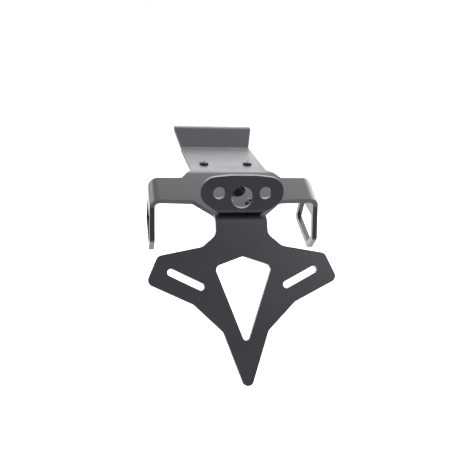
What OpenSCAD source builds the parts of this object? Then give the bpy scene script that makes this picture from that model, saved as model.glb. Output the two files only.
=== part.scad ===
// Tail tidy: a folded sheet-steel bracket that carries a number plate, a plate
// lamp and two indicators behind a motorbike's seat.
//
// The main bracket is one sheet: a raised rear panel, a flat top plate, a ramp that
// slopes down toward the number plate, two side arms folded down into windowed
// indicator tabs, and a kite-cut number-plate hanger below a narrow neck. A folded
// lamp bracket stands on the ramp, held by two button-head bolts with washers and
// nuts. Two more button-head bolts go down through the top plate, and a hollow rubber
// plug closes the wiring hole in the ramp.
//
// Frame: +Z up, +X right, -Y toward the number-plate side. The origin is on the top
// plate's underside, midway between the two frame bolts.

/* [Sheet] */

// Thickness of the main bracket's sheet.
sheet_t = 5; // [2:0.1:8]

// Thickness of the lamp bracket's sheet.
lamp_t = 4.5; // [2:0.1:6]

// Inner radius of the gentle bends in the main sheet.
bend_r = 5; // [1:0.5:10]

// Inner radius of the bends at the ends of the arms.
arm_bend_r = 5; // [1:0.5:10]

// Inner radius of the neck bend above the number plate.
neck_bend_r = 6; // [1:0.5:12]

// Inner radius of the lamp bracket's tight bend.
lamp_bend_r = 1; // [0.5:0.1:4]

/* [Top plate] */

// Width of the top plate.
top_w = 78.4; // [60:0.2:110]

// Length of the top plate between its two bend lines.
top_l = 103; // [70:0.5:140]

// Angle by which the rear panel rises.
rear_angle = 35; // [10:1:60]

// Length of the rear panel up its slope.
rear_l = 32.2; // [15:0.2:50]

// Width of the rear panel at its free edge.
rear_w = 90; // [70:0.2:120]

// Length of the level lip behind the bend at the rear panel's top.
lip_l = 2; // [1.5:0.1:12]

// Radius of the lip's two free corners.
rear_corner_r = 1.2; // [0.6:0.1:1.4]

// Distance between the two frame bolts.
frame_bolt_pitch = 45.8; // [30:0.2:60]

// Distance from the ramp's bend line back to the frame bolts.
frame_bolt_y = 30.3; // [15:0.1:60]

// Distance behind the ramp's bend line at which the top plate starts to widen.
flare_l = 8.8; // [6:0.1:16]

// Width of the sheet across the ramp's bend.
flare_w = 88; // [80:0.2:98]

// Inner radius of the ramp's bend.
top_bend_r = 8; // [2:0.5:12]

/* [Ramp and arms] */

// Angle by which the ramp slopes down from the top plate.
ramp_angle = 22.2; // [10:0.1:40]

// Length of the ramp down to the neck's bend line.
ramp_l = 71.9; // [55:0.1:90]

// Distance down the ramp at which the arms' upper edges lie.
arm_top = 9.1; // [6:0.1:14]

// Half width of the ramp where the arms' upper edges begin.
arm_root = 50.1; // [44:0.1:58]

// Distance down the ramp of the arms' lower edges at their outer ends.
arm_low_end = 42; // [34:0.1:50]

// Distance down the ramp of the arms' lower edges near the middle.
arm_low_mid = 43.4; // [34:0.1:52]

// Half width of the ramp where the lower edges turn toward the neck.
gusset_x = 42.6; // [34:0.1:50]

// Distance down the ramp at which the slanting edges reach the neck.
neck_top = 61.8; // [52:0.1:66]

// Width of the neck.
neck_w = 48.4; // [36:0.2:60]

// Distance between the outer faces of the two indicator tabs.
tabs_w = 165; // [140:0.5:190]

// Diameter of the wiring hole in the ramp.
wire_hole_d = 20.6; // [10:0.1:26]

// Distance down the ramp to the wiring hole's centre.
wire_hole_s = 28.2; // [24:0.1:30]

/* [Indicator tabs] */

// Depth below the ramp's face of the tabs' front corners.
tab_nose_b = 36.5; // [30:0.1:44]

// Distance down the ramp's slope of the tabs' front corners.
tab_nose_s = 60.7; // [52:0.1:68]

// Distance down the ramp's slope of the tabs' lowest corners.
tab_low_s = 54; // [46:0.1:60]

// Depth below the ramp's face of the tabs' lowest corners.
tab_low_b = 55; // [46:0.1:64]

// Depth below the ramp's face of the tabs' rear lower corners.
tab_rear_b = 59.8; // [50:0.1:68]

// Distance down the ramp's slope of the tabs' rear edges.
tab_rear_s = 0.8; // [-4:0.1:6]

// Depth below the ramp's face at which the rear edges start.
tab_shoulder_b = 30; // [20:0.1:40]

// Width of the bars round the tabs' windows.
tab_bar = 5.5; // [3:0.1:9]

// Depth below the ramp's face of the window's upper edge at the front.
window_front_b = 20.6; // [16:0.1:28]

// Depth below the ramp's face of the window's upper edge at the rear.
window_rear_b = 29.2; // [20:0.1:40]

// Radius of the tabs' outer corners.
tab_corner_r = 4; // [1:0.1:6]

// Radius of the windows' corners.
window_r = 1.5; // [0.5:0.1:4]

/* [Number-plate hanger] */

// Angle of the hanger below the horizontal.
hanger_angle = 60.8; // [45:0.1:90]

// Distance below the bend line at which the neck's sides open out.
neck_l = 13; // [8:0.1:20]

// Half width of the hanger at the inner end of its wings.
wing_root_x = 37.2; // [30:0.1:44]

// Distance below the bend line of the wings' inner ends.
wing_root_s = 24.1; // [18:0.1:32]

// Half width of the hanger at the wings' upper corners.
wing_top_x = 77.6; // [66:0.1:84]

// Distance below the bend line of the wings' upper corners.
wing_top_s = 31.6; // [26:0.1:40]

// Half width of the hanger at the wing tips.
wing_tip_x = 88.3; // [74:0.1:98]

// Distance below the bend line of the wing tips.
wing_tip_s = 55.8; // [48:0.1:62]

// Half width of the hanger where the wings' lower edges turn down.
flank_x = 46.6; // [40:0.1:54]

// Distance below the bend line of that turn.
flank_s = 75.8; // [68:0.1:84]

// Half width of the hanger at the top of its tail.
tail_x = 20.7; // [16:0.1:26]

// Distance below the bend line of the top of the tail.
tail_s = 101; // [92:0.1:108]

// Half width of the tail's foot.
foot_x = 3.7; // [3.6:0.1:8]

// Length of the hanger from the bend line to its foot.
hanger_l = 148.6; // [125:0.1:165]

// Radius of the wing tips.
wing_r = 6; // [2:0.1:10]

// Radius of the hollow corners between the neck, wings and tail.
hollow_r = 8; // [3:0.1:14]

// Radius of the foot's corners.
foot_r = 4.8; // [1:0.1:5]

// Distance below the bend line of the kite cut-out's top.
kite_top = 33.2; // [28:0.1:40]

// Half width of the kite cut-out.
kite_x = 26.6; // [20:0.1:30]

// Distance below the bend line of the kite's side corners.
kite_side_s = 42.5; // [37:0.1:48]

// Distance below the bend line of the kite's lower point.
kite_low = 115; // [100:0.1:118]

// Radius of the kite's side corners.
kite_side_r = 5; // [1:0.1:8]

// Radius of the kite's upper corner.
kite_top_r = 1.5; // [0.5:0.1:4]

// Radius of the kite's lower corner.
kite_low_r = 3.2; // [0.5:0.1:5]

// Width of the two number-plate slots.
slot_w = 6.7; // [4:0.1:8]

// Half distance between the slots' outer end centres.
slot_out_x = 66; // [58:0.1:72]

// Distance below the bend line of the slots' outer end centres.
slot_out_s = 46.7; // [42:0.1:50]

// Half distance between the slots' inner end centres.
slot_in_x = 39.6; // [34:0.1:46]

// Distance below the bend line of the slots' inner end centres.
slot_in_s = 60; // [54:0.1:64]

/* [Lamp bracket] */

// Distance from the ramp's upper bend line forward to the lamp plate's face.
lamp_face_y = 64; // [56:0.1:67]

// Height of the two small holes relative to the top plate's face.
lamp_row_z = -2; // [-6:0.1:4]

// Distance between the two small holes.
lamp_pitch = 43; // [34:0.1:52]

// Diameter of the two small holes.
lamp_small_d = 11.5; // [6:0.1:14]

// Diameter of the large middle hole.
lamp_big_d = 20.5; // [12:0.1:24]

// Distance of the large hole's centre below the small holes' row.
lamp_big_drop = 4.4; // [0:0.1:8]

// Width of the lamp plate.
lamp_w = 76.4; // [66:0.2:90]

// Height of the lamp plate's top above the small holes' row.
lamp_top = 16.4; // [12:0.1:24]

// Half width of the level part of the lamp plate's top.
lamp_level_x = 12; // [8:0.1:24]

// Height of the plate's upper side corners above the small holes' row.
lamp_shoulder = 13.6; // [8:0.1:18]

// Radius of the plate's upper side corners.
lamp_top_r = 14; // [6:0.1:16]

// Depth of the plate's lower side corners below the small holes' row.
lamp_cheek = 7.2; // [4:0.1:10]

// Radius of the plate's lower side corners.
lamp_low_r = 13; // [4:0.1:15]

// Depth of the plate's lower edge below the small holes' row.
lamp_drop = 20.4; // [18:0.1:24]

// Width of the lamp bracket's foot.
lamp_foot_w = 39; // [32:0.2:46]

// Length of the foot's flat part up the ramp.
lamp_foot_l = 16.4; // [13:0.1:18]

// Radius of the foot's free corners.
lamp_foot_r = 3; // [1:0.1:6]

// Distance between the two lamp bolts.
lamp_bolt_pitch = 21.4; // [18:0.1:24]

/* [Wiring plug] */

// Diameter of the plug's flange under the ramp.
plug_flange_d = 26; // [22:0.5:32]

// Thickness of the plug's flange.
plug_flange_t = 1.5; // [1:0.1:3]

// Thickness of the plug's wall and floor.
plug_wall = 1.5; // [1:0.1:3]

// Distance of the plug's upper rim below the ramp's face.
plug_sink = 3; // [1:0.1:4]

// Depth of the plug's inside below the ramp's face.
plug_depth = 12; // [6:0.5:16]

/* [Bolts, washers and nuts] */

// Diameter of the bolts' plain shanks.
bolt_d = 5; // [4:0.1:6]

// Diameter of the bolts' threaded ends, the thread's pitch diameter.
thread_d = 4.48; // [3.5:0.01:5.5]

// Clearance between a bolt and the wall of its hole.
bolt_gap = 0.25; // [0.1:0.05:0.6]

// Diameter of the button heads.
head_d = 9.5; // [8:0.1:11]

// Height of the button heads.
head_h = 2.75; // [2:0.05:3.5]

// Height of the upright rim round each button head.
head_rim = 0.4; // [0.2:0.05:0.8]

// Width across the flats of the hexagon sockets.
socket_af = 3; // [2:0.1:4]

// Depth of the hexagon sockets.
socket_h = 1.7; // [1:0.1:2]

// Length of the frame bolts under their heads.
frame_bolt_l = 18; // [12:0.5:24]

// Length of the lamp bolts under their heads.
lamp_bolt_l = 17; // [15:0.5:24]

// Chamfer at the bolts' ends.
bolt_chamfer = 0.6; // [0.3:0.1:1]

// Outer diameter of the washers.
washer_d = 10; // [8:0.1:12]

// Thickness of the washers.
washer_t = 1; // [0.6:0.1:2]

// Width across the flats of the nuts.
nut_af = 8; // [7:0.1:10]

// Height of the nuts' hexagon.
nut_h = 4; // [3:0.1:5]

// Height of the round collar on each nut.
nut_collar = 1; // [0.5:0.1:1.5]

/* [Hidden] */

$fn = 64;

// Run past a face by which each cut goes through.
over = 1;

// Half sizes of the top plate, neck, tabs, flare, lamp plate and lamp foot.
top_x = top_w / 2;
neck_x = neck_w / 2;
tab_x = tabs_w / 2;
flare_x = flare_w / 2;
lamp_x = lamp_w / 2;
foot_half = lamp_foot_w / 2;

// Bends that are outside the upper face, each with its outer radius and the length
// that the bend takes from each panel.
top_bend_out = top_bend_r + sheet_t;
top_take = top_bend_out * tan(ramp_angle / 2);
neck_angle = hanger_angle - ramp_angle;
neck_bend_out = neck_bend_r + sheet_t;
neck_take = neck_bend_out * tan(neck_angle / 2);
rear_take = bend_r * tan(rear_angle / 2);
lip_bend_out = bend_r + sheet_t;
lip_take = lip_bend_out * tan(rear_angle / 2);
arm_bend_out = arm_bend_r + sheet_t;

// Lap that keeps faces from nearly coinciding: each round is this much larger than the
// corner it fills, and each bend of the main sheet is this much thinner and narrower
// than its panels and runs into them by a small angle.
lap = 0.003;
lap_turn = 1;

// Lamp bend: outer radius, height of its axis and its place along the ramp.
lamp_bend_out = lamp_bend_r + lamp_t;
lamp_axis_y = -lamp_face_y + lamp_bend_out;
lamp_axis_z = (lamp_bend_out + lamp_axis_y * sin(ramp_angle)) / cos(ramp_angle);
lamp_axis_s = -lamp_axis_y * cos(ramp_angle) - lamp_axis_z * sin(ramp_angle);
lamp_turn = 90 + ramp_angle;
lamp_bolt_s = lamp_axis_s - lamp_foot_l / 2;

// Slope of the lamp plate's lower side edges, and the half width at which they pass
// the height of the bend's axis.
lamp_slant = (lamp_x - foot_half) / (lamp_drop - lamp_cheek);
lamp_bend_x = foot_half + lamp_slant * (lamp_drop + lamp_axis_z - lamp_row_z);

hole_d = bolt_d + 2 * bolt_gap;

// Plain shank of the lamp bolts, which ends half way through the washer.
lamp_bolt_shank = lamp_t + sheet_t + washer_t / 2;

// Diameter of the plug's body, free in its hole by a hair.
plug_d = wire_hole_d - 0.1;

// Plane geometry for shapes with rounded corners.
function unit(v) = v / norm(v);
function turn(a, b, c) = (b[0] - a[0]) * (c[1] - b[1]) - (b[1] - a[1]) * (c[0] - b[0]);
function half_corner(a, b, c) = acos(unit(a - b) * unit(c - b)) / 2;
function before(p, i) = p[(i + len(p) - 1) % len(p)];
function after(p, i) = p[(i + 1) % len(p)];
function corner_ends(a, b, c, r) = [b + unit(a - b) * r / tan(half_corner(a, b, c)),
                                    b + unit(c - b) * r / tan(half_corner(a, b, c))];
function corner_centre(a, b, c, r) =
    b + unit(unit(a - b) + unit(c - b)) * r / sin(half_corner(a, b, c));

// Corner of a bar's inner edge, a given width inside the lines a-b and b-c.
function inner_corner(a, b, c, w) =
    b + unit(unit(a - b) + unit(c - b)) * w / sin(half_corner(a, b, c));

// Mirror image of a list of points, in reverse order.
function mirrored(p) = [for (i = [len(p) - 1 : -1 : 0]) [-p[i][0], p[i][1]]];
function reversed(r) = [for (i = [len(r) - 1 : -1 : 0]) r[i]];

// Plane shape with an exact round at each corner, where p runs anticlockwise and r
// gives each corner's radius, or 0 for a sharp corner. Hollow corners are cut.
module rounded(p, r) {
    ends = [for (i = [0 : len(p) - 1])
            each r[i] > 0 ? corner_ends(before(p, i), p[i], after(p, i), r[i]) : [p[i]]];
    difference() {
        union() {
            polygon(ends);
            for (i = [0 : len(p) - 1])
                if (r[i] > 0 && turn(before(p, i), p[i], after(p, i)) > 0)
                    translate(corner_centre(before(p, i), p[i], after(p, i), r[i]))
                        circle(r = r[i] + lap);
        }
        for (i = [0 : len(p) - 1])
            if (r[i] > 0 && turn(before(p, i), p[i], after(p, i)) < 0)
                translate(corner_centre(before(p, i), p[i], after(p, i), r[i]))
                    circle(r = r[i] + lap);
    }
}

// Extrusion along X of a shape drawn in the YZ plane.
module along_x(from, to) {
    translate([from, 0, 0])
        rotate([90, 0, 90])
            linear_extrude(to - from)
                children();
}

// Bend's cross section: a ring sector round the origin from angle a to angle b, cut by
// two half planes.
module bend_section(inner, outer, a, b) {
    reach = 2 * outer;
    intersection() {
        difference() {
            circle(r = outer);
            circle(r = inner);
        }
        rotate(a)
            translate([-reach, 0])
                square([2 * reach, reach]);
        rotate(b - 180)
            translate([-reach, 0])
                square([2 * reach, reach]);
    }
}

// Bend in the main sheet round the X axis, from angle a to angle b.
module fold(half_width, inner, a, b) {
    along_x(lap - half_width, half_width - lap)
        bend_section(inner + lap, inner + sheet_t - lap, a - lap_turn, b + lap_turn);
}

// Frame with its origin on the line where the top plate's face turns into the ramp.
// The panels are laid out from it. The part's own origin is between the frame bolts.
module from_bolts() {
    translate([0, -frame_bolt_y, sheet_t])
        children();
}

// Frames at the axes of the bends in the main sheet.
module at_top_bend() {
    translate([0, top_take, -top_bend_out])
        children();
}

module at_neck_bend() {
    on_ramp()
        translate([0, -(ramp_l - neck_take), -neck_bend_out])
            children();
}

module at_rear_bend() {
    translate([0, top_l - rear_take, bend_r])
        children();
}

module at_lip_bend() {
    on_rear()
        translate([0, rear_l - lip_take, -lip_bend_out])
            children();
}

// Frames of the sloping panels: X across, -Y down the slope, Z out of the face. Each
// panel is turned about its bend's axis, and its origin is on the bend line.
module on_ramp() {
    at_top_bend()
        rotate([ramp_angle, 0, 0])
            translate([0, top_take, top_bend_out])
                children();
}

module on_hanger() {
    at_neck_bend()
        rotate([neck_angle, 0, 0])
            translate([0, neck_take, neck_bend_out])
                children();
}

module on_rear() {
    at_rear_bend()
        rotate([rear_angle, 0, 0])
            translate([0, -rear_take, -bend_r])
                children();
}

// Flat sheet below the local XY plane.
module sheet(t) {
    translate([0, 0, -t])
        linear_extrude(t)
            children();
}

// Hole through the sheet at a point of the local plane.
module drill(x, y, d, t) {
    translate([x, y, -t - over])
        cylinder(d = d, h = t + 2 * over);
}

// Outline of the ramp, from the top bend to the neck bend.
module ramp_shape() {
    right = [[neck_x, -(ramp_l - neck_take)], [neck_x, -neck_top],
             [gusset_x, -arm_low_mid], [tab_x - arm_bend_out, -arm_low_end],
             [tab_x - arm_bend_out, -arm_top], [arm_root, -arm_top], [flare_x, -top_take]];
    radii = [0, hollow_r, hollow_r / 2, 0, 0, 2, 0];
    rounded(concat(right, mirrored(right)), concat(radii, reversed(radii)));
}

// Fold at the outer end of the right arm, and the tab that hangs from it.
module arm_fold() {
    ends = [-arm_low_end, -arm_top];
    translate([tab_x - arm_bend_out, ends[0], -arm_bend_out])
        rotate([-90, 0, 0])
            mirror([0, 1, 0])
                linear_extrude(ends[1] - ends[0])
                    bend_section(arm_bend_r, arm_bend_out, 0, 90);
}

module tab_shape() {
    outline = [[-arm_low_end, -arm_bend_out], [-tab_nose_s, -tab_nose_b],
               [-tab_low_s, -tab_low_b], [-tab_rear_s, -tab_rear_b],
               [-tab_rear_s, -tab_shoulder_b], [-arm_top, -arm_bend_out]];
    nose = inner_corner(outline[0], outline[1], outline[2], tab_bar);
    low = inner_corner(outline[1], outline[2], outline[3], tab_bar);
    rear = inner_corner(outline[2], outline[3], outline[4], tab_bar);
    along = (outline[1][0] - outline[0][0]) / (outline[1][1] - outline[0][1]);
    top_front = [nose[0] + along * (-window_front_b - nose[1]), -window_front_b];
    window = [top_front, nose, low, rear, [rear[0], -window_rear_b]];
    difference() {
        rounded(outline, [0, tab_corner_r, tab_corner_r, tab_corner_r, tab_corner_r, 0]);
        rounded(window, [for (i = window) window_r]);
    }
}

module tab() {
    along_x(tab_x - sheet_t, tab_x)
        tab_shape();
}

// Outline of the hanger, from the neck bend to the foot.
module hanger_shape() {
    right = [[foot_x, -hanger_l], [tail_x, -tail_s], [flank_x, -flank_s],
             [wing_tip_x, -wing_tip_s], [wing_top_x, -wing_top_s],
             [wing_root_x, -wing_root_s], [neck_x, -neck_l], [neck_x, -neck_take]];
    radii = [foot_r, hollow_r, hollow_r, wing_r, wing_r, hollow_r, hollow_r, 0];
    rounded(concat(right, mirrored(right)), concat(radii, reversed(radii)));
}

module kite_shape() {
    rounded([[0, -kite_low], [kite_x, -kite_side_s], [0, -kite_top],
             [-kite_x, -kite_side_s]],
            [kite_low_r, kite_side_r, kite_top_r, kite_side_r]);
}

// Slot for a number-plate screw, between two end centres.
module slot_cut(side) {
    a = [side * slot_out_x, -slot_out_s];
    b = [side * slot_in_x, -slot_in_s];
    way = b - a;
    translate([a[0], a[1], -sheet_t - over])
        rotate([0, 0, atan2(way[1], way[0])]) {
            translate([0, -slot_w / 2, 0])
                cube([norm(way), slot_w, sheet_t + 2 * over]);
            cylinder(d = slot_w, h = sheet_t + 2 * over);
            translate([norm(way), 0, 0])
                cylinder(d = slot_w, h = sheet_t + 2 * over);
        }
}

// Main bracket: one folded sheet, five millimetres thick, from the raised rear panel
// to the foot of the hanger. Its bends join the flat panels.
module main_bracket() {
    color("dimgray")
        from_bolts()
            difference() {
                union() {
                    // Top plate between its bends, wider toward the ramp.
                    sheet(sheet_t)
                        rounded([[-flare_x, top_take], [flare_x, top_take],
                                 [top_x, flare_l], [top_x, top_l - rear_take],
                                 [-top_x, top_l - rear_take], [-top_x, flare_l]],
                                [0, 0, 2, 0, 0, 2]);
                    // Bends down into the ramp and up into the rear panel.
                    at_top_bend()
                        fold(flare_x, top_bend_r, 90, 90 + ramp_angle);
                    at_rear_bend()
                        fold(top_x, bend_r, -90, rear_angle - 90);
                    // Rear panel, wider toward its top, and the lip bent level behind it.
                    on_rear()
                        sheet(sheet_t)
                            polygon([[-top_x, rear_take], [top_x, rear_take],
                                     [rear_w / 2, rear_l - lip_take],
                                     [-rear_w / 2, rear_l - lip_take]]);
                    at_lip_bend() {
                        fold(rear_w / 2, bend_r, 90 - rear_angle, 90);
                        rotate([-rear_angle, 0, 0])
                            translate([0, 0, lip_bend_out])
                                sheet(sheet_t)
                                    rounded([[-rear_w / 2, 0], [rear_w / 2, 0],
                                             [rear_w / 2, lip_l], [-rear_w / 2, lip_l]],
                                            [0, 0, rear_corner_r, rear_corner_r]);
                    }
                    // Ramp with its two arms, and the arms' ends.
                    on_ramp() {
                        sheet(sheet_t)
                            ramp_shape();
                        for (side = [0, 1])
                            mirror([side, 0, 0]) {
                                arm_fold();
                                tab();
                            }
                    }
                    // Bend at the neck.
                    at_neck_bend()
                        fold(neck_x, neck_bend_r, 90, 90 + neck_angle);
                    // Number-plate hanger.
                    on_hanger()
                        sheet(sheet_t)
                            hanger_shape();
                }
                // Kite cut-out and slots of the hanger.
                on_hanger() {
                    translate([0, 0, -sheet_t - over])
                        linear_extrude(sheet_t + 2 * over)
                            kite_shape();
                    slot_cut(1);
                    slot_cut(-1);
                }
                // Wiring hole and lamp bolts' holes in the ramp.
                on_ramp() {
                    drill(0, -wire_hole_s, wire_hole_d, sheet_t);
                    for (side = [-1, 1])
                        drill(side * lamp_bolt_pitch / 2, -lamp_bolt_s, hole_d, sheet_t);
                }
                // Frame bolts' holes in the top plate.
                for (side = [-1, 1])
                    drill(side * frame_bolt_pitch / 2, frame_bolt_y, hole_d, sheet_t);
            }
}

// Front view of the lamp plate above its bend.
module lamp_shape() {
    right = [[lamp_bend_x, lamp_axis_z], [lamp_x, lamp_row_z - lamp_cheek],
             [lamp_x, lamp_row_z + lamp_shoulder], [lamp_level_x, lamp_row_z + lamp_top]];
    radii = [0, lamp_low_r, lamp_top_r, 0];
    difference() {
        rounded(concat(right, mirrored(right)), concat(radii, reversed(radii)));
        translate([0, lamp_row_z - lamp_big_drop])
            circle(d = lamp_big_d);
        for (side = [-1, 1])
            translate([side * lamp_pitch / 2, lamp_row_z])
                circle(d = lamp_small_d);
    }
}

// Lamp bracket: an upright plate with three holes, folded back at its lower edge into
// a foot that lies on the ramp.
module lamp_bracket() {
    color("slategray")
        from_bolts()
            difference() {
                union() {
                    translate([0, -lamp_face_y + lamp_t, 0])
                        rotate([90, 0, 0])
                            linear_extrude(lamp_t)
                                lamp_shape();
                    // Bend, cut to the slanting side edges in the front view.
                    intersection() {
                        translate([0, lamp_axis_y, lamp_axis_z])
                            along_x(-lamp_bend_x, lamp_bend_x)
                                bend_section(lamp_bend_r, lamp_bend_out, 180, 180 + lamp_turn);
                        translate([0, lamp_axis_y + lamp_bend_out, 0])
                            rotate([90, 0, 0])
                                linear_extrude(2 * lamp_bend_out)
                                    polygon([[-lamp_bend_x, lamp_axis_z],
                                             [-foot_half, lamp_row_z - lamp_drop],
                                             [-foot_half, lamp_axis_z - 2 * lamp_bend_out],
                                             [foot_half, lamp_axis_z - 2 * lamp_bend_out],
                                             [foot_half, lamp_row_z - lamp_drop],
                                             [lamp_bend_x, lamp_axis_z]]);
                    }
                    // Foot on the ramp.
                    on_ramp()
                        linear_extrude(lamp_t)
                            rounded([[-foot_half, -lamp_axis_s], [foot_half, -lamp_axis_s],
                                     [foot_half, lamp_foot_l - lamp_axis_s],
                                     [-foot_half, lamp_foot_l - lamp_axis_s]],
                                    [0, 0, lamp_foot_r, lamp_foot_r]);
                }
                on_ramp()
                    for (side = [-1, 1])
                        translate([side * lamp_bolt_pitch / 2, -lamp_bolt_s, -over])
                            cylinder(d = hole_d, h = lamp_t + 2 * over);
            }
}

// Rubber plug in the wiring hole: a cup pressed in from below, whose flange lies under
// the ramp.
module wiring_plug() {
    color("black")
        from_bolts()
            on_ramp()
                translate([0, -wire_hole_s, 0])
                    difference() {
                        union() {
                            translate([0, 0, -plug_depth - plug_wall])
                                cylinder(d = plug_d, h = plug_depth + plug_wall - plug_sink);
                            translate([0, 0, -sheet_t - plug_flange_t])
                                cylinder(d = plug_flange_d, h = plug_flange_t);
                        }
                        translate([0, 0, -plug_depth])
                            cylinder(d = plug_d - 2 * plug_wall, h = plug_depth);
                    }
}

// Button-head bolt with its head's seat at the local origin, a plain shank under it and
// a threaded end.
module button_bolt(length, shank) {
    dome = head_h - head_rim;
    ball = (dome * dome + head_d * head_d / 4) / (2 * dome);
    difference() {
        union() {
            intersection() {
                cylinder(d = head_d, h = head_h);
                translate([0, 0, head_h - ball])
                    sphere(r = ball);
            }
            translate([0, 0, -shank])
                cylinder(d = bolt_d, h = shank + head_rim);
            translate([0, 0, bolt_chamfer - length])
                cylinder(d = thread_d, h = length - bolt_chamfer);
            translate([0, 0, -length])
                cylinder(d1 = thread_d - 2 * bolt_chamfer, d2 = thread_d, h = bolt_chamfer);
        }
        translate([0, 0, head_h - socket_h])
            cylinder(d = socket_af / cos(30), h = socket_h + over, $fn = 6);
    }
}

// Frame bolts: button heads on the top plate, ends free below it.
module frame_bolts() {
    color("silver")
        for (side = [-1, 1])
            translate([side * frame_bolt_pitch / 2, 0, sheet_t])
                button_bolt(frame_bolt_l, sheet_t);
}

// Places of the two lamp bolts, with Z out of the ramp.
module at_lamp_bolts(z) {
    from_bolts()
        on_ramp()
            for (side = [-1, 1])
                translate([side * lamp_bolt_pitch / 2, -lamp_bolt_s, z])
                    children();
}

module lamp_bolts() {
    color("silver")
        at_lamp_bolts(lamp_t)
            button_bolt(lamp_bolt_l, lamp_bolt_shank);
}

// Washers under the ramp.
module lamp_washers() {
    color("lightgray")
        at_lamp_bolts(-sheet_t - washer_t)
            difference() {
                cylinder(d = washer_d, h = washer_t);
                translate([0, 0, -over])
                    cylinder(d = hole_d, h = washer_t + 2 * over);
            }
}

// Locking nuts under the washers: a hexagon with a round collar, bored just wider than
// the bolts' threaded ends.
module lamp_nuts() {
    color("gainsboro")
        at_lamp_bolts(-sheet_t - washer_t - nut_h - nut_collar)
            difference() {
                union() {
                    translate([0, 0, nut_collar])
                        cylinder(d = nut_af / cos(30), h = nut_h, $fn = 6);
                    cylinder(d = nut_af - 1, h = nut_collar);
                }
                translate([0, 0, -over])
                    cylinder(d = thread_d + 0.1, h = nut_h + nut_collar + 2 * over);
            }
}

main_bracket();
lamp_bracket();
wiring_plug();
frame_bolts();
lamp_bolts();
lamp_washers();
lamp_nuts();
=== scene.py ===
import math

import bmesh
import bpy
from mathutils import Matrix, Vector


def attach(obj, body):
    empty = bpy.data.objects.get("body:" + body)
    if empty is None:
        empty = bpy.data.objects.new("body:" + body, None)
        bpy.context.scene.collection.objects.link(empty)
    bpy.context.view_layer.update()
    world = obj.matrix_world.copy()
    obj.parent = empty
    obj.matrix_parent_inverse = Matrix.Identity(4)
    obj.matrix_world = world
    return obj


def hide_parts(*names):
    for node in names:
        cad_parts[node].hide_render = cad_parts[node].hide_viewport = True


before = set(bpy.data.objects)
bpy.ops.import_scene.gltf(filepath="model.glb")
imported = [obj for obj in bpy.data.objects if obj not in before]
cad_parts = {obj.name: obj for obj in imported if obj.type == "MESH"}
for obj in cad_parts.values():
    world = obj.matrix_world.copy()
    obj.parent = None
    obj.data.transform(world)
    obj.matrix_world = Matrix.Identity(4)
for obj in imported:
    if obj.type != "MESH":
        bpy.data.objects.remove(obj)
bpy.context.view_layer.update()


# Main bracket. One sheet of 5 mm steel, laser cut and folded: rear panel with a lip, top
# plate, ramp, two arms with windowed tabs, neck and number-plate hanger. It is powder
# coated satin black, and two bolts through the top plate fix it under the tail.

sheet = 0.005
ramp_slope = math.radians(22.2)
# The ramp's bend line lies in front of the frame bolts, on the top plate's face.
bend_line = Vector((0, -0.0303, sheet))
cut_edge_rounding = 0.00045


def linear(hexcode):
    """Colour from an sRGB hex code, as linear red, green, blue and alpha."""
    parts = [int(hexcode[i:i + 2], 16) / 255 for i in (1, 3, 5)]
    return [c / 12.92 if c <= 0.04045 else ((c + 0.055) / 1.055) ** 2.4 for c in parts] + [1]


def add_node(material, kind, inputs=None, **settings):
    """One shader node with its settings, and its inputs as values or links."""
    node = material.node_tree.nodes.new(kind)
    for name, value in settings.items():
        setattr(node, name, value)
    for name, value in (inputs or {}).items():
        if isinstance(value, bpy.types.NodeSocket):
            material.node_tree.links.new(value, node.inputs[name])
        else:
            node.inputs[name].default_value = value
    return node


def blank_material(name):
    material = bpy.data.materials.new(name)
    material.use_nodes = True
    material.node_tree.nodes.clear()
    return material


# Satin black polyester powder coat, sprayed and baked. The eye sees a deep black under
# a soft broad gloss, with an orange peel about 1.6 mm across, a fine grain in the film
# and a slight unevenness of gloss over a few centimetres.
powder_coat = blank_material("satin_black_powder_coat")
place = add_node(powder_coat, "ShaderNodeTexCoord").outputs["Object"]
peel = add_node(powder_coat, "ShaderNodeTexNoise",
                {"Vector": place, "Scale": 1000 / 1.6, "Detail": 1.5, "Roughness": 0.45})
grain = add_node(powder_coat, "ShaderNodeTexNoise",
                 {"Vector": place, "Scale": 1000 / 0.45, "Detail": 2.0, "Roughness": 0.6})
drift = add_node(powder_coat, "ShaderNodeTexNoise",
                 {"Vector": place, "Scale": 1000 / 28, "Detail": 3.0, "Roughness": 0.55})
tone = add_node(powder_coat, "ShaderNodeMix",
                {"Factor": drift.outputs["Fac"], 6: linear("#18171d"), 7: linear("#1f1d25")},
                data_type="RGBA")
gloss = add_node(powder_coat, "ShaderNodeMapRange",
                 {"Value": drift.outputs["Fac"], "From Min": 0.3, "From Max": 0.7,
                  "To Min": 0.35, "To Max": 0.43})
speckle = add_node(powder_coat, "ShaderNodeMapRange",
                   {"Value": grain.outputs["Fac"], "From Min": 0.3, "From Max": 0.7,
                    "To Min": -0.03, "To Max": 0.03})
roughness = add_node(powder_coat, "ShaderNodeMath",
                     {0: gloss.outputs["Result"], 1: speckle.outputs["Result"]},
                     operation="ADD")
grain_bump = add_node(powder_coat, "ShaderNodeBump",
                      {"Height": grain.outputs["Fac"], "Strength": 0.25,
                       "Distance": 0.00004})
peel_bump = add_node(powder_coat, "ShaderNodeBump",
                     {"Height": peel.outputs["Fac"], "Strength": 0.35,
                      "Distance": 0.00012, "Normal": grain_bump.outputs["Normal"]})
coat = add_node(powder_coat, "ShaderNodeBsdfPrincipled",
                {"Base Color": tone.outputs[2], "Roughness": roughness.outputs[0],
                 "IOR": 1.5, "Specular IOR Level": 0.36,
                 "Normal": peel_bump.outputs["Normal"]})
add_node(powder_coat, "ShaderNodeOutputMaterial", {"Surface": coat.outputs["BSDF"]})


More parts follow.
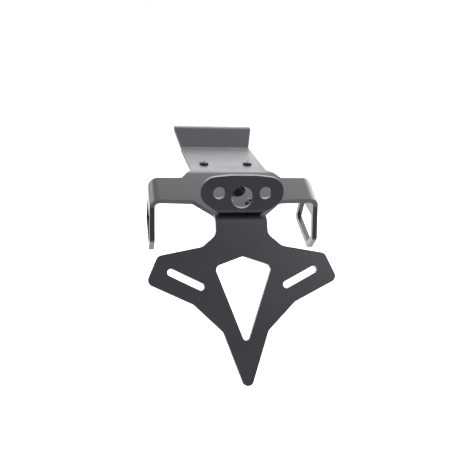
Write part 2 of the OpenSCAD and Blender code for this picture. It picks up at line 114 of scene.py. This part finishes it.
def folded_piece(cad_node, name, material, edge):
    """Clean copy of a folded CAD solid: flat faces joined, cut edges softly rounded."""
    shell = bmesh.new()
    shell.from_mesh(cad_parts[cad_node].data)
    bmesh.ops.remove_doubles(shell, verts=shell.verts, dist=0.00002)
    bmesh.ops.dissolve_limit(shell, angle_limit=math.radians(0.6), verts=shell.verts,
                             edges=shell.edges)
    bmesh.ops.recalc_face_normals(shell, faces=shell.faces)
    for face in shell.faces:
        face.smooth = True
    mesh = bpy.data.meshes.new(name)
    shell.to_mesh(mesh)
    shell.free()
    mesh.materials.append(material)
    piece = bpy.data.objects.new(name, mesh)
    bpy.context.scene.collection.objects.link(piece)
    rounding = piece.modifiers.new("rounded_edges", "BEVEL")
    rounding.width = edge
    rounding.segments = 3
    rounding.limit_method = "ANGLE"
    rounding.angle_limit = math.radians(35)
    rounding.miter_outer = "MITER_ARC"
    shading = piece.modifiers.new("flat_panels", "WEIGHTED_NORMAL")
    shading.mode = "FACE_AREA"
    shading.weight = 90
    shading.keep_sharp = True
    return piece


bracket = folded_piece("main_bracket", "bracket_sheet", powder_coat, cut_edge_rounding)

# The laser cuts each side of the sheet along one slanting line from the top plate, over
# the ramp's bend, to the arm. The points of the bend's straight sides move to that line.
# bend_axis is how far the bend's axis lies under the face, bend_take is how far the bend
# reaches either way from its line, and each end of the slanting line is given as its half
# width and its way behind the bend line.
bend_axis, bend_take = 0.013, 0.00255
(narrow_x, narrow_at), (wide_x, wide_at) = (0.0382, 0.0088), (0.0487, -0.0076)
plate_edge, arm_start, kink_reach = 0.0375, 0.05, 0.003
for vert in bracket.data.vertices:
    behind, above = vert.co.y - bend_line.y, vert.co.z - bend_line.z
    angle = math.atan2(bend_take - behind, above + bend_axis)
    if angle > ramp_slope:
        behind = behind * math.cos(ramp_slope) + above * math.sin(ramp_slope)
    elif angle > 0:
        behind = bend_take * (1 - 2 * angle / ramp_slope)
    if plate_edge < abs(vert.co.x) < arm_start and wide_at < behind < narrow_at + kink_reach:
        share = min(max((narrow_at - behind) / (narrow_at - wide_at), 0), 1)
        vert.co.x = math.copysign(narrow_x + share * (wide_x - narrow_x), vert.co.x)
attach(bracket, "root")
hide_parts("main_bracket")


# Lamp bracket. A second folded steel plate, 4.5 mm thick, with one large hole for the
# number-plate lamp's body and two small ones for its studs. It has the same powder
# coat, and its foot is bolted on the ramp.

lamp_sheet = 0.0045
lamp_plate = folded_piece("lamp_bracket", "lamp_plate", powder_coat, cut_edge_rounding)
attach(lamp_plate, "root")
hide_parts("lamp_bracket")


# Wiring plug. A dark moulded rubber cup put in the wiring hole to stand in for the shade seen
# through it, pressed in from below until its flange lies on the sheet.

# Moulded EPDM rubber, its dark tone set to stand in for the shade in the wiring hole. Matt
# and nearly black, with a dry bloom and a fine moulded grain.
shade_plug_rubber = blank_material("shade_plug_epdm_rubber")
place = add_node(shade_plug_rubber, "ShaderNodeTexCoord").outputs["Object"]
bloom = add_node(shade_plug_rubber, "ShaderNodeTexNoise",
                 {"Vector": place, "Scale": 1000 / 6.0, "Detail": 3.0})
grain = add_node(shade_plug_rubber, "ShaderNodeTexNoise",
                 {"Vector": place, "Scale": 1000 / 0.3, "Detail": 2.0})
tone = add_node(shade_plug_rubber, "ShaderNodeMix",
                {"Factor": bloom.outputs["Fac"], 6: linear("#4a494f"), 7: linear("#545359")},
                data_type="RGBA")
dryness = add_node(shade_plug_rubber, "ShaderNodeMapRange",
                   {"Value": bloom.outputs["Fac"], "To Min": 0.7, "To Max": 0.9})
bump = add_node(shade_plug_rubber, "ShaderNodeBump",
                {"Height": grain.outputs["Fac"], "Strength": 0.4, "Distance": 0.00005})
rubber = add_node(shade_plug_rubber, "ShaderNodeBsdfPrincipled",
                  {"Base Color": tone.outputs[2], "Roughness": dryness.outputs["Result"],
                   "IOR": 1.5, "Specular IOR Level": 0.3, "Normal": bump.outputs["Normal"]})
add_node(shade_plug_rubber, "ShaderNodeOutputMaterial", {"Surface": rubber.outputs["BSDF"]})

# Frame of the ramp: its origin is on the bend line, -Y runs down the slope and Z stands
# out of the face.
on_ramp = Matrix.Translation(bend_line) @ Matrix.Rotation(ramp_slope, 4, "X")


def turned_mesh(profile, steps):
    """Solid of revolution about Z from a closed profile of (radius, height) in mm."""
    turned = bmesh.new()
    points = [turned.verts.new((r / 1000, 0, h / 1000)) for r, h in profile]
    lines = [turned.edges.new((a, b)) for a, b in zip(points, points[1:] + points[:1])]
    bmesh.ops.spin(turned, geom=points + lines, cent=(0, 0, 0), axis=(0, 0, 1),
                   dvec=(0, 0, 0), angle=math.tau, steps=steps, use_merge=True,
                   use_duplicate=False)
    bmesh.ops.remove_doubles(turned, verts=turned.verts, dist=0.000002)
    bmesh.ops.recalc_face_normals(turned, faces=turned.faces)
    return turned


def placed_piece(name, cad_node, materials, shape, places):
    """Piece of copies of one shape, each at its place, that stands for a CAD node."""
    part = bpy.data.meshes.new(name + "_shape")
    shape.to_mesh(part)
    shape.free()
    whole = bmesh.new()
    for place in places:
        start = len(whole.verts)
        whole.from_mesh(part)
        whole.verts.ensure_lookup_table()
        bmesh.ops.transform(whole, matrix=place, verts=whole.verts[start:])
    for face in whole.faces:
        face.smooth = True
    mesh = bpy.data.meshes.new(name)
    whole.to_mesh(mesh)
    whole.free()
    bpy.data.meshes.remove(part)
    for material in materials:
        mesh.materials.append(material)
    mesh.set_sharp_from_angle(angle=math.radians(32))
    piece = bpy.data.objects.new(name, mesh)
    bpy.context.scene.collection.objects.link(piece)
    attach(piece, "root")
    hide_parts(cad_node)
    return piece


wiring_hole_down_ramp = 0.0282
# Profile from the middle of the floor round the cup's inside, rim, body and flange.
shade_plug_shape = turned_mesh([(0, -12), (8.2, -12), (8.75, -11.5), (8.75, -3.3), (9.1, -3),
                          (9.9, -3), (10.25, -3.4), (10.25, -4.95), (12.6, -5.0),
                          (13, -5.4), (13, -6.1), (12.6, -6.5), (10.25, -6.6),
                          (10.25, -12.9), (9.6, -13.5), (0, -13.5)], 56)
# The cup is a dark fill that stands in for the shade in the wiring hole.
placed_piece("shade_plug_cup", "wiring_plug", [shade_plug_rubber], shade_plug_shape,
             [on_ramp @ Matrix.Translation((0, -wiring_hole_down_ramp, 0))])


# Frame bolts. Two M5 button-head bolts with 3 mm hexagon sockets, black zinc plated,
# that hold the top plate under the tail. Their threaded ends are free below it.

# Black zinc passivated steel. Dark satin metal whose thin film lets a cold grey sheen
# through, a little uneven and brighter where a tool has rubbed.
black_zinc = blank_material("black_zinc_plated_steel")
place = add_node(black_zinc, "ShaderNodeTexCoord").outputs["Object"]
patina = add_node(black_zinc, "ShaderNodeTexNoise",
                  {"Vector": place, "Scale": 1000 / 2.2, "Detail": 4.0, "Roughness": 0.6})
grit = add_node(black_zinc, "ShaderNodeTexNoise",
                {"Vector": place, "Scale": 1000 / 0.25, "Detail": 2.0})
tone = add_node(black_zinc, "ShaderNodeMix",
                {"Factor": patina.outputs["Fac"], 6: linear("#2d2c30"), 7: linear("#3d3c40")},
                data_type="RGBA")
shine = add_node(black_zinc, "ShaderNodeMapRange",
                 {"Value": patina.outputs["Fac"], "From Min": 0.3, "From Max": 0.7,
                  "To Min": 0.3, "To Max": 0.42})
bump = add_node(black_zinc, "ShaderNodeBump",
                {"Height": grit.outputs["Fac"], "Strength": 0.2, "Distance": 0.00002})
zinc = add_node(black_zinc, "ShaderNodeBsdfPrincipled",
                {"Base Color": tone.outputs[2], "Metallic": 1.0,
                 "Roughness": shine.outputs["Result"], "Normal": bump.outputs["Normal"]})
add_node(black_zinc, "ShaderNodeOutputMaterial", {"Surface": zinc.outputs["BSDF"]})


def ring(shell, radius, height, sides=48):
    """Edges of a level ring of points, sizes in mm."""
    made = bmesh.ops.create_circle(shell, cap_ends=False, segments=sides,
                                   radius=radius / 1000,
                                   matrix=Matrix.Translation((0, 0, height / 1000)))
    return list({edge for vert in made["verts"] for edge in vert.link_edges})


def hexagon(shell, flats, height, sides=48):
    """Edges of a level hexagon, given across its flats in mm, with points on its sides."""
    edges = ring(shell, flats / math.sqrt(3), height, 6)
    split = bmesh.ops.subdivide_edges(shell, edges=edges, cuts=sides // 6 - 1)
    return list({g for g in split["geom_inner"] + split["geom"]
                 if isinstance(g, bmesh.types.BMEdge)})


def bridged(shell, rings):
    for lower, upper in zip(rings, rings[1:]):
        bmesh.ops.bridge_loops(shell, edges=lower + upper)


def threaded_rod(shell, diameter, pitch, top, length):
    """Rod with a helical V thread down Z, closed at both ends, sizes in mm."""
    crest, root = diameter / 2, diameter / 2 - 0.55 * pitch
    profile, height = [], top + 2 * pitch
    while height > -length - 2 * pitch:
        profile += [(crest, height), (crest, height - 0.12 * pitch),
                    (root, height - 0.5 * pitch), (root, height - 0.62 * pitch)]
        height -= pitch
    rod = bmesh.new()
    points = [rod.verts.new((r / 1000, 0, h / 1000)) for r, h in profile]
    lines = [rod.edges.new((a, b)) for a, b in zip(points, points[1:])]
    steps = 32
    bmesh.ops.spin(rod, geom=points + lines, cent=(0, 0, 0), axis=(0, 0, 1),
                   dvec=(0, 0, -pitch / steps / 1000), angle=math.tau, steps=steps,
                   use_merge=False, use_duplicate=False)
    bmesh.ops.remove_doubles(rod, verts=rod.verts, dist=0.000005)
    for level, side in ((top, 1), (-length, -1)):
        bmesh.ops.bisect_plane(rod, geom=rod.verts[:] + rod.edges[:] + rod.faces[:],
                               plane_co=(0, 0, level / 1000), plane_no=(0, 0, side),
                               clear_outer=True)
        rim = [e for e in rod.edges if e.is_boundary
               and all(abs(v.co.z * 1000 - level) < 0.01 for v in e.verts)]
        bmesh.ops.edgeloop_fill(rod, edges=rim)
    for vert in rod.verts:
        reach = math.hypot(vert.co.x, vert.co.y)
        allowed = (crest - 0.6 + 1000 * vert.co.z + length) / 1000
        if reach > allowed:
            vert.co.x *= allowed / reach
            vert.co.y *= allowed / reach
    bmesh.ops.recalc_face_normals(rod, faces=rod.faces)
    mesh = bpy.data.meshes.new("rod")
    rod.to_mesh(mesh)
    rod.free()
    shell.from_mesh(mesh)
    bpy.data.meshes.remove(mesh)


thread, thread_pitch = 5, 0.8


def button_bolt(length):
    """M5 button-head bolt with its seat at the origin and its end down Z, sizes in mm."""
    bolt = bmesh.new()
    rings = [hexagon(bolt, 2.9, 1.05), hexagon(bolt, 3.0, 1.15), hexagon(bolt, 3.0, 2.6),
             hexagon(bolt, 3.2, 2.72)]
    bmesh.ops.edgeloop_fill(bolt, edges=rings[0])
    for radius, height in ((2.1, 2.75), (3.0, 2.72), (3.6, 2.62), (4.05, 2.44), (4.4, 2.16),
                           (4.62, 1.8), (4.72, 1.4), (4.75, 0.9), (4.75, 0.14),
                           (4.62, 0.0)):
        rings.append(ring(bolt, radius, height))
    bridged(bolt, rings)
    bmesh.ops.edgeloop_fill(bolt, edges=rings[-1])
    bmesh.ops.recalc_face_normals(bolt, faces=bolt.faces)
    threaded_rod(bolt, thread, thread_pitch, 0.5, length)
    return bolt


frame_bolt_aside, frame_bolt_length = 0.0229, 18
placed_piece("frame_button_bolts", "frame_bolts", [black_zinc],
             button_bolt(frame_bolt_length),
             [Matrix.Translation((side * frame_bolt_aside, 0, sheet))
              @ Matrix.Rotation(math.radians(twist), 4, "Z")
              for side, twist in ((-1, 12), (1, 41))])


# Lamp bolts. Two more of the same bolts, which go down through the lamp bracket's foot
# and the ramp.

lamp_bolt_aside, lamp_bolt_down_ramp, lamp_bolt_length = 0.0107, 0.05274, 17
lamp_bolt_places = [on_ramp
                    @ Matrix.Translation((side * lamp_bolt_aside, -lamp_bolt_down_ramp, 0))
                    @ Matrix.Rotation(math.radians(twist), 4, "Z")
                    for side, twist in ((-1, 25), (1, 54))]
placed_piece("lamp_button_bolts", "lamp_bolts", [black_zinc],
             button_bolt(lamp_bolt_length),
             [place @ Matrix.Translation((0, 0, lamp_sheet)) for place in lamp_bolt_places])


# Washers. Two M5 washers, 10 mm across and 1 mm thick, stamped and black zinc plated,
# under the ramp.

# Profile on the ramp's underside, from the hole's upper edge outwards and back.
washer_shape = turned_mesh([(2.8, -5.0), (4.9, -5.0), (5.0, -5.1), (5.0, -5.85),
                            (4.85, -6.0), (2.85, -6.0), (2.75, -5.9), (2.75, -5.05)], 48)
placed_piece("lamp_washer_pair", "lamp_washers", [black_zinc], washer_shape,
             lamp_bolt_places)


# Locking nuts. Two M5 nuts, 8 mm across flats, with a collar rolled over a nylon ring
# that grips the bolt. They are black zinc plated too.

# Natural nylon. Off-white, faintly translucent and waxy.
nylon = blank_material("natural_nylon_ring")
place = add_node(nylon, "ShaderNodeTexCoord").outputs["Object"]
haze = add_node(nylon, "ShaderNodeTexNoise", {"Vector": place, "Scale": 1000 / 1.5})
tone = add_node(nylon, "ShaderNodeMix",
                {"Factor": haze.outputs["Fac"], 6: linear("#cfcabd"), 7: linear("#dedacf")},
                data_type="RGBA")
wax = add_node(nylon, "ShaderNodeBsdfPrincipled",
               {"Base Color": tone.outputs[2], "Roughness": 0.45, "IOR": 1.53})
add_node(nylon, "ShaderNodeOutputMaterial", {"Surface": wax.outputs["BSDF"]})

nut_flats, nut_face, nut_top, nut_chamfer = 8, 3.85, 5.0, math.radians(28)
nut_shape = bmesh.new()
loops = [ring(nut_shape, 2.75, nut_top), ring(nut_shape, nut_face, nut_top)]
for level, way in ((nut_top, -1), (1.0, 1)):
    sides = hexagon(nut_shape, nut_flats, level)
    for vert in {v for edge in sides for v in edge.verts}:
        past = math.hypot(vert.co.x, vert.co.y) - nut_face / 1000
        vert.co.z += way * past * math.tan(nut_chamfer)
    loops.append(sides)
# The collar, rolled over at its lower end, and then the nylon ring inside it.
loops += [ring(nut_shape, r, h) for r, h in ((nut_face, 1.0), (3.55, 0.95), (3.5, 0.85),
                                             (3.5, 0.3), (3.4, 0.1), (3.2, 0.0),
                                             (3.0, 0.02), (2.95, 0.1), (2.9, 0.12),
                                             (2.6, 0.16), (2.55, 0.3))]
bridged(nut_shape, loops + [loops[0]])
ring_reach, ring_level = 0.00294, 0.00035
for face in nut_shape.faces:
    middle = face.calc_center_median()
    if middle.z < ring_level and math.hypot(middle.x, middle.y) < ring_reach:
        face.material_index = 1
bmesh.ops.recalc_face_normals(nut_shape, faces=nut_shape.faces)
# The nut's lower end is under the sheet, the 1 mm washer and its own height of 5 mm.
nut_end = -sheet - 0.001 - nut_top / 1000
placed_piece("lamp_locking_nuts", "lamp_nuts", [black_zinc, nylon], nut_shape,
             [place @ Matrix.Translation((0, 0, nut_end)) for place in lamp_bolt_places])


# Studio. A pale floor well below the part, a white surround, and softboxes overhead,
# behind, at the sides and under the table, as in a catalogue photograph.

floor_level, floor_reach = -0.42, 12
table_level = floor_level + 0.01
floor_mesh = bpy.data.meshes.new("studio_floor")
ground = bmesh.new()
bmesh.ops.create_grid(ground, x_segments=1, y_segments=1, size=floor_reach,
                      matrix=Matrix.Translation((0, 0, floor_level)))
ground.to_mesh(floor_mesh)
ground.free()
studio_floor = bpy.data.objects.new("studio_floor", floor_mesh)
bpy.context.scene.collection.objects.link(studio_floor)

# White paper, matt and even, lifted to the surround's white where the camera sees it and
# where the part mirrors it.
paper = blank_material("white_background_paper")
sight = add_node(paper, "ShaderNodeLightPath")
mirrored = add_node(paper, "ShaderNodeMath",
                    {0: sight.outputs["Is Glossy Ray"],
                     1: sight.outputs["Is Transmission Ray"]}, operation="MAXIMUM")
mirrored = add_node(paper, "ShaderNodeMath", {0: mirrored.outputs[0], 1: 0.2},
                    operation="MULTIPLY")
lift = add_node(paper, "ShaderNodeMath", {0: sight.outputs["Is Camera Ray"], 1: 0.8,
                                          2: mirrored.outputs[0]}, operation="MULTIPLY_ADD")
place = add_node(paper, "ShaderNodeTexCoord").outputs["Object"]
fibre = add_node(paper, "ShaderNodeTexNoise", {"Vector": place, "Scale": 1000 / 3.0})
tone = add_node(paper, "ShaderNodeMix",
                {"Factor": fibre.outputs["Fac"], 6: linear("#c6c6c6"), 7: linear("#cacaca")},
                data_type="RGBA")
matt = add_node(paper, "ShaderNodeBsdfDiffuse", {"Color": tone.outputs[2]})
glow = add_node(paper, "ShaderNodeEmission", {"Strength": lift.outputs[0]})
both = add_node(paper, "ShaderNodeAddShader", {0: matt.outputs[0], 1: glow.outputs[0]})
add_node(paper, "ShaderNodeOutputMaterial", {"Surface": both.outputs[0]})
floor_mesh.materials.append(paper)

surround = bpy.data.worlds.new("white_surround")
bpy.context.scene.world = surround
surround.use_nodes = True
surround.node_tree.nodes.clear()
sight = add_node(surround, "ShaderNodeLightPath")
seen = add_node(surround, "ShaderNodeMath",
                {0: sight.outputs["Is Camera Ray"], 1: sight.outputs["Is Glossy Ray"]},
                operation="MAXIMUM")
seen = add_node(surround, "ShaderNodeMath",
                {0: seen.outputs[0], 1: sight.outputs["Is Transmission Ray"]},
                operation="MAXIMUM")
level = add_node(surround, "ShaderNodeMapRange",
                 {"Value": seen.outputs[0], "To Min": 0.45, "To Max": 1.0})
sky = add_node(surround, "ShaderNodeBackground",
               {"Color": linear("#ffffff"), "Strength": level.outputs["Result"]})
add_node(surround, "ShaderNodeOutputWorld", {"Surface": sky.outputs[0]})


def softbox(name, centre, aim, width, height, brightness):
    """Area lamp that gives its face an even brightness, where 1 is the surround's white."""
    lamp = bpy.data.lights.new(name, "AREA")
    lamp.shape = "RECTANGLE"
    lamp.size, lamp.size_y = width, height
    lamp.energy = brightness * math.pi * width * height
    light = bpy.data.objects.new(name, lamp)
    light.location = centre
    light.rotation_euler = (Vector(aim) - Vector(centre)).to_track_quat("-Z", "Y").to_euler()
    light.visible_camera = False
    bpy.context.scene.collection.objects.link(light)


softbox("softbox_overhead", (0.38, 0.3, 1.0), (0, 0, 0), 1.9, 1.6, 1.36)
softbox("softbox_back", (0.3, 1.4, 0.88), (0, 0, 0), 2.4, 1.5, 2.65)
softbox("softbox_left", (-1.35, 0.75, 0.42), (0, 0, 0), 1.2, 1.0, 5.4)
softbox("softbox_right", (1.2, 0.95, 0.5), (0, 0, 0), 1.1, 1.0, 4.2)
softbox("softbox_front_right", (0.95, -0.82, 0.86), (0.03, -0.13, -0.05), 0.9, 0.65, 8.5)
softbox("light_table", (0, -0.15, table_level), (0, -0.15, 0), 0.9, 0.9, 2.0)
softbox("light_table_back", (-0.4, 0.95, table_level), (-0.4, 0.95, 0), 0.9, 0.9, 2.4)

# Camera, turned a little to the right of the part and 20 degrees down on it.
turned, down, tilt = math.radians(-10.53), math.radians(20), math.radians(3.05)
ahead = Vector((-math.sin(turned) * math.cos(down), math.cos(turned) * math.cos(down),
                -math.sin(down)))
level_right = Vector((math.cos(turned), math.sin(turned), 0))
level_up = level_right.cross(ahead)
right = level_right * math.cos(tilt) + level_up * math.sin(tilt)
up = level_up * math.cos(tilt) - level_right * math.sin(tilt)
# The middle of the ramp's bend line lies this far in front of the camera, and this far
# right of and above the middle of the view.
distance, aside, above = 0.64164, 0.00570, 0.05298
place = bend_line - aside * right - above * up - distance * ahead
camera = bpy.data.objects.new("camera", bpy.data.cameras.new("camera"))
camera.data.lens = 51.33
camera.data.sensor_width = 36
camera.data.clip_start = 0.01
facing = Matrix((right, up, -ahead)).transposed().to_4x4()
camera.matrix_world = Matrix.Translation(place) @ facing
bpy.context.scene.collection.objects.link(camera)
bpy.context.scene.camera = camera
bpy.context.scene.view_settings.view_transform = "Standard"
